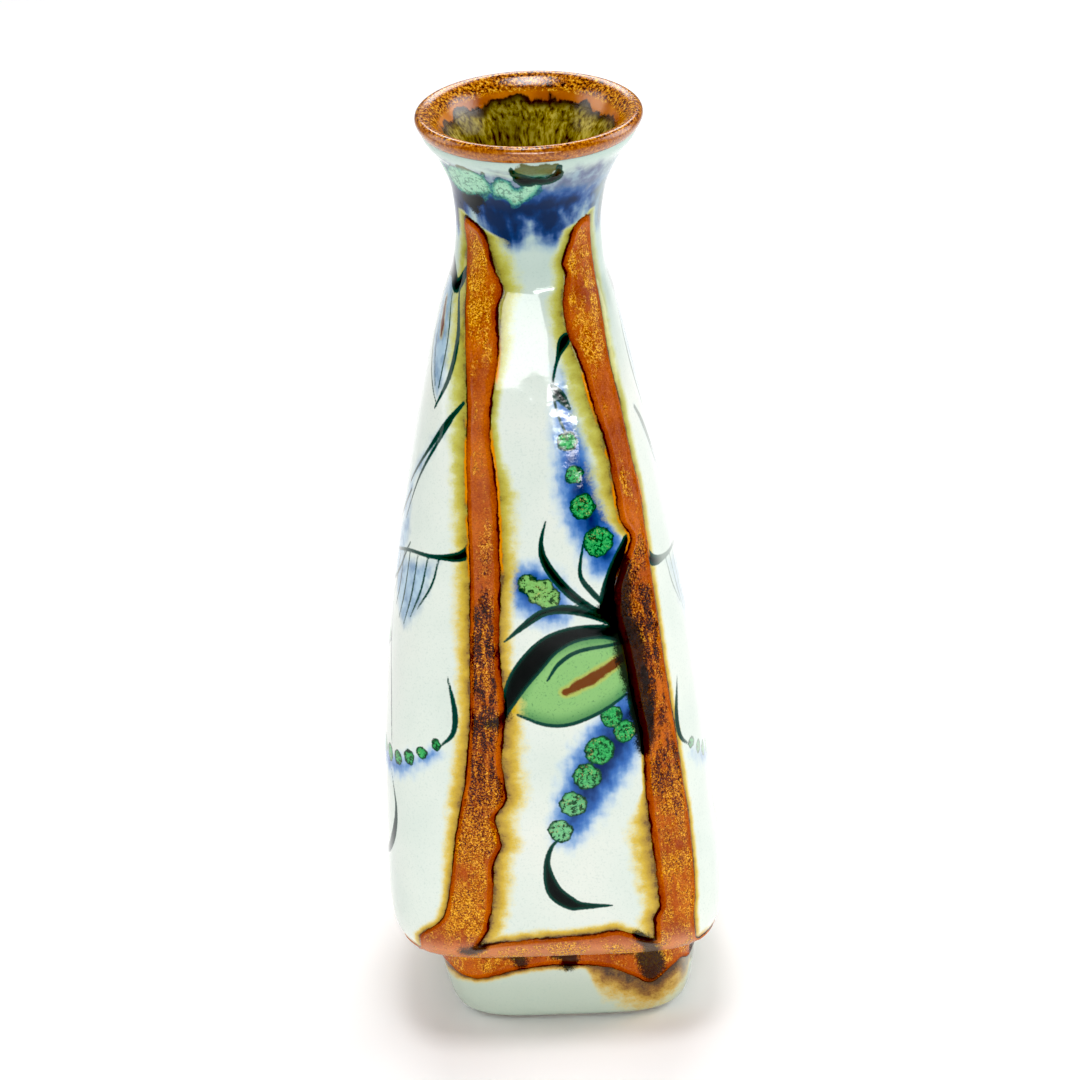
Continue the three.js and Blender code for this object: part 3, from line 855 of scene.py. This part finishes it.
def add_cobalt(k, colour):
    """Cobalt that bleeds and runs down, stronger on the neck."""
    blue = k.jitter(k.jitter(k.cobalt, k.soft, 5.0), k.runs, 2.4)
    blue = k.minus(blue, k.step(k.up, 205, 213, 0, 1.5))
    face_blue = k.blend(
        k.step(blue, 1.5, -8.2),
        (0.0, (172, 202, 228)), (0.3, (104, 150, 204)), (0.65, (52, 98, 170)), (1.0, (12, 36, 88)),
    )
    neck_blue = k.blend(
        k.step(blue, 1.5, -5),
        (0.0, (92, 140, 172)), (0.35, (18, 94, 160)), (0.7, (6, 66, 134)), (1.0, (4, 34, 74)),
    )
    cobalt = k.mix(k.step(k.up, 205, 213), face_blue, neck_blue)
    return k.mix(k.step(blue, 1.8, -3.6), colour, cobalt)


def add_leaves(k, colour):
    """Green paint: leaves on the faces, and mint that has run on the neck."""
    edge = k.jitter(k.jitter(k.leaf, k.fine, 0.5), k.soft, k.times(k.melted, 3.0))
    edge = k.jitter(edge, k.runs, k.times(k.melted, 1.6))
    green = k.blend(k.step(k.leaf, 0, -4), (0.0, (72, 136, 72)), (1.0, (130, 184, 106)))
    mint = k.blend(
        k.jitter(k.step(k.leaf, 0, -2.2), k.fine, 1.2),
        (0.0, (16, 84, 110)), (0.35, (84, 164, 136)), (0.9, (160, 210, 178)),
    )
    mint = k.mix(k.times(k.spots, 0.55), mint, (14, 66, 60))
    mint = k.mix(k.step(k.up, 230.6, 232.4, 0, 0.92), mint, (92, 90, 30))
    green = k.mix(k.step(k.up, 205, 215), green, mint)
    green = k.mix(k.step(k.fine, 0.56, 0.68, 0, 0.6), green, (40, 100, 60))
    return k.mix(k.step(edge, 0.25, -0.25, 0, 0.96), colour, green)


def add_blotches(k, colour):
    """Rust marks with a yellow bleed round them."""
    rust = k.jitter(k.jitter(k.blotch, k.soft, 1.6), k.grain, 0.8)
    colour = k.mix(k.step(rust, 1.2, 0.2, 0, 0.45), colour, (204, 180, 52))
    return k.mix(k.step(rust, 0.3, -0.3, 0, 0.95), colour, (104, 38, 4))


def add_fringe(k, colour):
    """The bleed beside the brown glaze: golden low down, olive above, tan on the foot."""
    sideways = k.noise(1.6, 4, stretch=(0.35, 0.35, 1.0))
    spread = k.jitter(k.jitter(k.jitter(k.fringe, sideways, 0.35), k.soft, 0.9), k.fine, 0.6)
    gold = k.blend(
        spread,
        (0.0, (104, 66, 2)), (0.2, (166, 128, 4)), (0.55, (204, 168, 26)), (1.0, (220, 202, 108)),
    )
    olive = k.blend(
        spread,
        (0.0, (106, 88, 10)), (0.2, (156, 146, 28)), (0.55, (182, 180, 70)), (1.0, (202, 208, 142)),
    )
    tan = k.blend(
        spread,
        (0.0, (64, 30, 4)), (0.3, (128, 80, 14)), (0.6, (190, 150, 56)), (1.0, (204, 192, 130)),
    )
    ochre = k.mix(k.step(k.up, 105, 175), gold, olive)
    ochre = k.mix(k.step(k.up, LEDGE_Z + 1, LEDGE_Z - 2), ochre, tan)
    ochre = k.mix(k.step(k.fine, 0.52, 0.68, 0, 0.35), ochre, (132, 106, 24))
    return k.mix(k.step(spread, 1.45, 0.65, 0, 0.94), colour, ochre)


def add_berries(k, colour):
    """Spotted berries with dark rims, paler low down and yellower in the blossom."""
    dot = k.jitter(k.jitter(k.berry, k.lumps, 1.6), k.grain, 0.6)
    flesh = k.blend(k.fine, (0.35, (18, 120, 60)), (0.6, (64, 182, 98)))
    flesh = k.mix(k.step(k.up, 84, 62, 0, 0.5), flesh, (146, 204, 160))
    blossom = k.times(k.step(k.up, 116, 120), k.step(k.up, 133, 131))
    flesh = k.mix(k.times(blossom, 0.55), flesh, (160, 196, 112))
    flesh = k.mix(k.times(k.spots, 0.9), flesh, (4, 36, 20))
    sandy = k.times(k.step(k.grain, 0.55, 0.62), k.step(k.soft, 0.45, 0.6, 0, 0.8))
    flesh = k.mix(sandy, flesh, (200, 178, 108))
    flesh = k.mix(k.step(dot, -0.75, -0.15, 0, 0.9), flesh, (2, 42, 30))
    return k.mix(k.step(dot, 0.2, -0.1), colour, flesh)


def add_ink(k, colour):
    """Brush lines, green at their edges and black where they are thick."""
    line = k.jitter(k.jitter(k.ink, k.fine, 0.45), k.soft, k.times(k.melted, 2.0))
    ink = k.blend(
        k.step(line, 0.1, -2.2),
        (0.0, (10, 64, 54)), (0.2, (2, 44, 34)), (0.5, (1, 14, 10)), (1.0, (0, 3, 2)),
    )
    return k.mix(k.step(line, 0.2, -0.12), colour, ink)


def crystal_cover(k, share_up):
    """Where the brown glaze is thick enough for crystals, thickest at the foot and mid height."""
    zone = k.blend(
        share_up,
        (0.08, 0.4), (0.17, 0.48), (0.3, 0.62), (0.48, 0.64), (0.6, 0.26), (0.72, 0.24),
        (0.8, 0.5), (0.87, 0.5), (0.92, 0.18),
    )
    density = k.jitter(k.jitter(zone, k.noise(8, 4), 1.3), k.runs, 0.7)
    density = k.plus(density, k.step(k.brown, -0.3, -2.2, -0.35, 0.06))
    return k.step(k.jitter(density, k.noise(0.9, 4, roughness=0.7), 1.0), 0.36, 0.66)


def crystal_colour(k, share_up):
    """Black and gold crystals, blackest a third of the way up and in the runs."""
    gloom = k.blend(share_up, (0.1, 0.0), (0.26, 0.03), (0.36, 0.12), (0.5, 0.12), (0.6, 0.0))
    level = k.minus(k.grain, k.times(gloom, k.step(k.runs, 0.35, 0.6, 0.2, 1.1)))
    gilt = k.plus(k.step(k.up, 172, 186, 0, 0.014), k.step(k.up, 66, 46, 0, 0.01))
    return k.blend(
        k.plus(level, gilt),
        (0.36, (26, 8, 1)), (0.43, (92, 36, 2)), (0.47, (172, 76, 4)), (0.54, (214, 138, 8)),
        (0.62, (252, 208, 58)),
    )


def brown_colour(k, thick):
    """Orange-brown glaze, redder at its edge, with a painted highlight along the ledge; black where it
    has pooled, and as painted shade along the foot's top under the ledge.
    """
    base = k.blend(k.noise(10, 3), (0.32, (152, 60, 2)), (0.5, (174, 77, 3)), (0.68, (194, 95, 8)))
    base = k.mix(k.step(k.brown, 0, -1.4, 0.45, 0), base, (110, 34, 2))
    base = k.mix(k.step(k.grain, 0.5, 0.38, 0, 0.5), base, (92, 32, 2))
    base = k.mix(k.step(k.grain, 0.55, 0.66, 0, 0.45), base, (230, 146, 36))
    # Painted highlight: the brown is lightened towards pale orange along the ledge's rounded edge.
    painted_ledge_highlight = k.times(k.step(k.up, 32, 28, 0, 0.4), above_ledge(k))
    base = k.mix(painted_ledge_highlight, base, (238, 154, 84))
    share_up = k.math("DIVIDE", k.up, TOP_Z)
    base = k.mix(crystal_cover(k, share_up), base, crystal_colour(k, share_up))
    return k.mix(k.times(thick, 0.95), base, (12, 4, 1))


def above_ledge(k):
    return k.step(k.up, LEDGE_Z - 0.1, LEDGE_Z + 0.1)


def brown_edge(k):
    """Signed distance to the brown glaze with a ragged edge."""
    edge = k.jitter(k.jitter(k.brown, k.grain, 0.6), k.lumps, 0.5)
    return k.jitter(edge, k.noise(2.6, 4, roughness=0.7), 1.1)


def add_brown(k, colour, ground, edge, inside):
    """The brown glaze over the paint, with an amber bleed, dark pools, painted shade along the foot's
    top under the ledge, painted glare over the right face's painting and a dark outline.
    """
    # Pooled glaze darkens to near black here; the same layer also lays the painted shade along the
    # foot's top under the ledge.
    thick = k.step(k.jitter(k.jitter(k.pool, k.soft, 2.6), k.grain, 5.0), 1.8, 0.2, 0, 0.97)
    amber = k.times(k.step(edge, 0.9, 0.3), k.step(k.noise(12, 2), 0.45, 0.55))
    amber = k.times(amber, k.times(k.step(k.up, 118, 136), k.step(k.up, 192, 180)))
    colour = k.mix(amber, colour, (220, 132, 8))
    colour = k.mix(thick, colour, (8, 12, 6))
    # Painted glare: towards the right face the painting fades into the pale ground, washed out as by
    # the light.
    rightward = k.minus(k.across, k.math("ABSOLUTE", k.along))
    colour = k.mix(k.step(rightward, 0, 9, 0, RIGHT_SIDE_PAINTED_GLARE), colour, ground)
    colour = k.mix(inside, colour, brown_colour(k, thick))
    width = k.step(k.noise(11, 2), 0.38, 0.64, 0.04, 0.28)
    outline = k.minus(k.math("ABSOLUTE", k.plus(edge, 0.1)), width)
    return k.mix(k.step(outline, 0.14, -0.1, 0, 0.92), colour, (34, 9, 1))


def outer_glaze():
    """The glaze of the whole outside: pale ground, paint in it, brown glaze over it."""
    k = OutsideShader("outer_glaze")
    ground = ground_colour(k)
    colour = ground
    for add in (add_wash, add_cobalt, add_leaves, add_blotches, add_fringe, add_berries, add_ink):
        colour = add(k, colour)
    edge = brown_edge(k)
    inside = k.step(edge, 0.1, -0.1)
    colour = add_brown(k, colour, ground, edge, inside)
    pits = k.times(k.step(k.grain, 0.4, 0.62), k.times(inside, 0.5))
    bumps = k.plus(pits, k.times(k.noise(5, 3), 0.8))
    rough = k.plus(0.06, k.times(inside, k.step(k.grain, 0.35, 0.65, 0.04, 0.16)))
    shine = k.step(k.math("ABSOLUTE", k.plus(k.brown, 0.4)), 0.5, 1.2, 0.2, 1)
    ledge = k.times(k.step(k.up, 36, 27), above_ledge(k))
    shine = k.times(shine, k.step(ledge, 0, 1, SHEEN, LEDGE_SHEEN))
    return k.finish(colour, rough, bumps, 0.05, shine)


def mouth_glaze():
    """Glaze of the lip and the bore. The lip is speckled amber and black, then plain orange,
    then a scalloped dark edge over olive that is streaked down the throat."""
    k = Shader("mouth_glaze")
    up = k.split(k.place)[2]
    grain = k.noise(0.75, 5, roughness=0.75)
    broad = k.noise(8, 3)
    streak = k.noise(1.0, 4, stretch=(1, 1, 0.12), roughness=0.6)
    wide = k.noise(7, 2, stretch=(1, 1, 0.3))
    olive = k.blend(streak, (0.36, (70, 52, 6)), (0.48, (154, 132, 26)), (0.62, (214, 198, 88)))
    olive = k.mix(k.step(wide, 0.4, 0.6, 0.5, 0), olive, (48, 34, 4))
    orange = k.blend(broad, (0.35, (156, 72, 0)), (0.65, (208, 122, 4)))
    speckle = k.blend(
        grain,
        (0.4, (18, 6, 1)), (0.46, (104, 44, 2)), (0.52, (186, 98, 4)), (0.59, (228, 166, 20)),
        (0.7, (246, 214, 96)),
    )
    scallops = k.jitter(k.jitter(up, wide, 10), streak, 1.6)
    colour = k.mix(k.step(scallops, 232.2, 234.6, 0, 0.95), olive, (40, 12, 4))
    colour = k.mix(k.step(scallops, 234.7, 235.3), colour, orange)
    colour = k.mix(k.step(k.jitter(up, grain, 2.5), 236.2, 237.3), colour, speckle)
    outside = k.minus(k.distance_out(), 25.8)
    lip = k.times(k.step(k.jitter(outside, broad, 1.5), -0.3, 0.9), k.step(up, 239.9, 239.2))
    lip_colour = k.blend(grain, (0.36, (100, 44, 2)), (0.5, (160, 84, 4)), (0.68, (210, 142, 34)))
    colour = k.mix(lip, colour, lip_colour)
    shine = k.step(up, 232, 236, THROAT_SHEEN, MOUTH_SHEEN)
    return k.finish(colour, k.step(grain, 0.3, 0.7, 0.08, 0.2), grain, 0.04, shine)


def clay():
    """Bare fired clay, seen under the foot and deep in the throat."""
    k = Shader("bare_clay")
    grain = k.noise(0.7, 5, roughness=0.7)
    colour = k.blend(k.noise(14, 3), (0.35, (176, 152, 120)), (0.65, (204, 184, 152)))
    colour = k.mix(k.step(grain, 0.62, 0.7), colour, (120, 92, 64))
    return k.finish(colour, 0.75, grain, 0.12)


# ---- pieces

def add_piece(mesh, material, node):
    """Puts a mesh in the scene in place of the CAD node."""
    piece = bpy.data.objects.new(mesh.name, mesh)
    bpy.context.scene.collection.objects.link(piece)
    mesh.materials.append(material)
    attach(piece, "root")
    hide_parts(node)


def edges_round(number, z, girth):
    """Both edges of a band, measured from the front centre."""
    start, edges, _, _, seed = BANDS[number]
    left, right = band_edges(z, edges, seed)
    return left + start * girth / 2, right + start * girth / 2


def between_bands(first, second):
    """Side edges of a panel that lies between two of the four bands."""
    def span(z, girth):
        left = edges_round(first, z, girth)[1] + SEAM_MARGIN
        right = edges_round(second, z, girth)[0] - SEAM_MARGIN
        return left, np.where(right < left, right + girth, right)
    return span


def over_band(number):
    """Side edges of the coat that carries one of the four bands."""
    def span(z, girth):
        left, right = edges_round(number, z, girth)
        return left - SEAM_MARGIN, right + SEAM_MARGIN
    return span


def body_coats(glaze):
    """Four panels and four bands: name, slot, columns, rows and the span they cover."""
    plans = [
        ("panel_front", "panel_glaze", 96, 416, between_bands(0, 1)),
        ("panel_right", "panel_glaze", 136, 336, between_bands(1, 2)),
        ("panel_back", "panel_glaze", 88, 368, between_bands(2, 3)),
        ("panel_left", "panel_glaze", 136, 336, between_bands(3, 0)),
        ("band_front_left", "brown_glaze", 48, 416, over_band(0)),
        ("band_front_right", "brown_glaze", 56, 416, over_band(1)),
        ("band_back_right", "brown_glaze", 48, 368, over_band(2)),
        ("band_back_left", "brown_glaze", 56, 368, over_band(3)),
    ]
    for name, slot, columns, rows, span in plans:
        heights = np.linspace(BELT_TOP_Z, COAT_TOP_Z, rows + 1)
        mesh = coat(name + "_coat", heights, columns, span, BODY, brown_fields, BAND_RISE)
        add_piece(mesh, glaze, name)


def finer_below(low, high, rows, power):
    """Heights of the rows, closer together towards the lower end."""
    return low + (high - low) * np.linspace(0, 1, rows + 1) ** power


def ring_coats(glaze):
    """Coats that run all the way round: name, slot, columns, heights, profile, fields and rise."""
    belt_rows = finer_below(BELT_BOTTOM_Z, BELT_TOP_Z, 32, 1.5)
    foot_belt_rows = np.linspace(FOOT_SEAM_Z, FOOT_TOP_Z, 25)
    foot_rows = finer_below(FOOT_BOTTOM_Z, FOOT_SEAM_Z, 40, 1.3)
    neck_rows = np.linspace(COAT_TOP_Z, NECK_TOP_Z, 41)
    plans = [
        ("base_belt", "brown_glaze", 720, belt_rows, BODY, brown_fields, BAND_RISE),
        ("foot_belt", "brown_glaze", 640, foot_belt_rows, FOOT, foot_fields, FOOT_RISE),
        ("foot_glaze", "foot_glaze", 640, foot_rows, FOOT, foot_fields, FOOT_RISE),
        ("neck_glaze", "neck_glaze", 400, neck_rows, BODY, brown_fields, BAND_RISE),
    ]
    for name, slot, columns, heights, profile, fields, rise_height in plans:
        mesh = coat(name + "_coat", heights, columns, None, profile, fields, rise_height)
        add_piece(mesh, glaze, name)


def mouth_coats():
    section = np.concatenate([refine(RIM_OUTSIDE, 5), refine(RIM_INSIDE, 5)])
    glaze = mouth_glaze()
    add_piece(sweep_mesh("rim_coat", section, RIM_COLUMNS), glaze, "rim_glaze")
    up = np.linspace(LINER_BOTTOM_Z, LINER_TOP_Z, LINER_ROWS)
    inside = [(curve(BORE, z), z) for z in up[::-1]]
    outside = [(curve(BORE, z) + LINER_COAT, z) for z in up[::6]]
    mesh = sweep_mesh("liner_coat", outside + inside, LINER_COLUMNS)
    add_piece(mesh, glaze, "liner_glaze")


def bare_clay():
    material = clay()
    for name in ("body_clay", "neck_clay"):
        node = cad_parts[name]
        node.data.materials.clear()
        node.data.materials.append(material)
    side = [(curve(FOOT, z) - COAT - CLAY_GAP, z) for z in FOOT_SIDE_Z]
    section = FOOT_UNDERSIDE + side + FOOT_INSIDE
    mesh = sweep_mesh("foot_clay_body", section, FOOT_COLUMNS, closed=False)
    add_piece(mesh, material, "foot_clay")


def build_vase():
    glaze = outer_glaze()
    body_coats(glaze)
    ring_coats(glaze)
    mouth_coats()
    bare_clay()


# ---- studio

def floor_material():
    """White paper round the vase, with a painted pool of light that falls to a soft grey further out.
    """
    k = Shader("floor_white")
    away = k.step(k.distance_out(FLOOR_CENTRE), FLOOR_BRIGHT, FLOOR_DIM)
    grain = k.noise(4, 3)
    colour = k.mix(away, (250, 250, 250), (200, 200, 201))
    return k.finish(k.mix(k.times(grain, 0.02), colour, (230, 230, 232)), 0.7)


def add_floor():
    bpy.ops.mesh.primitive_plane_add(size=FLOOR_SIZE)
    floor = bpy.context.object
    floor.name = "floor"
    floor.data.materials.append(floor_material())


def add_softbox(name, place, size, power):
    data = bpy.data.lights.new(name, "AREA")
    data.shape = "RECTANGLE"
    data.size, data.size_y = size
    data.energy = power
    lamp = bpy.data.objects.new(name, data)
    lamp.location = place
    lamp.rotation_euler = (LIGHT_AIM - lamp.location).to_track_quat("-Z", "Y").to_euler()
    bpy.context.scene.collection.objects.link(lamp)


def develop_picture():
    """A plain view of the light, with slightly deeper blacks."""
    view = bpy.context.scene.view_settings
    view.view_transform = "Standard"
    view.use_curve_mapping = True
    view.curve_mapping.black_level = BLACK_LEVEL
    view.curve_mapping.update()


def light_studio():
    world = bpy.data.worlds.new("studio")
    bpy.context.scene.world = world
    world.use_nodes = True
    sky = world.node_tree.nodes["Background"]
    sky.inputs["Color"].default_value = (1, 1, 1, 1)
    sky.inputs["Strength"].default_value = WORLD_STRENGTH
    for name, place, size, power in SOFTBOXES:
        add_softbox(name, place, size, power)
    develop_picture()


def add_camera():
    turn = math.radians(CAMERA_AZIMUTH)
    tilt = math.radians(CAMERA_ELEVATION)
    roll = math.radians(CAMERA_ROLL)
    back = Vector((math.sin(turn) * math.cos(tilt), -math.cos(turn) * math.cos(tilt), math.sin(tilt)))
    level = Vector((math.cos(turn), math.sin(turn), 0))
    upright = back.cross(level)
    right = math.cos(roll) * level - math.sin(roll) * upright
    up = math.sin(roll) * level + math.cos(roll) * upright
    place = CAMERA_AIM + CAMERA_DISTANCE * back
    data = bpy.data.cameras.new("camera")
    data.lens = CAMERA_LENS
    data.sensor_width = CAMERA_SENSOR
    camera = bpy.data.objects.new("camera", data)
    axes = Matrix((right, up, back)).transposed()
    camera.matrix_world = Matrix.Translation(place) @ axes.to_4x4()
    bpy.context.scene.collection.objects.link(camera)
    bpy.context.scene.camera = camera


build_vase()
add_floor()
light_studio()
add_camera()
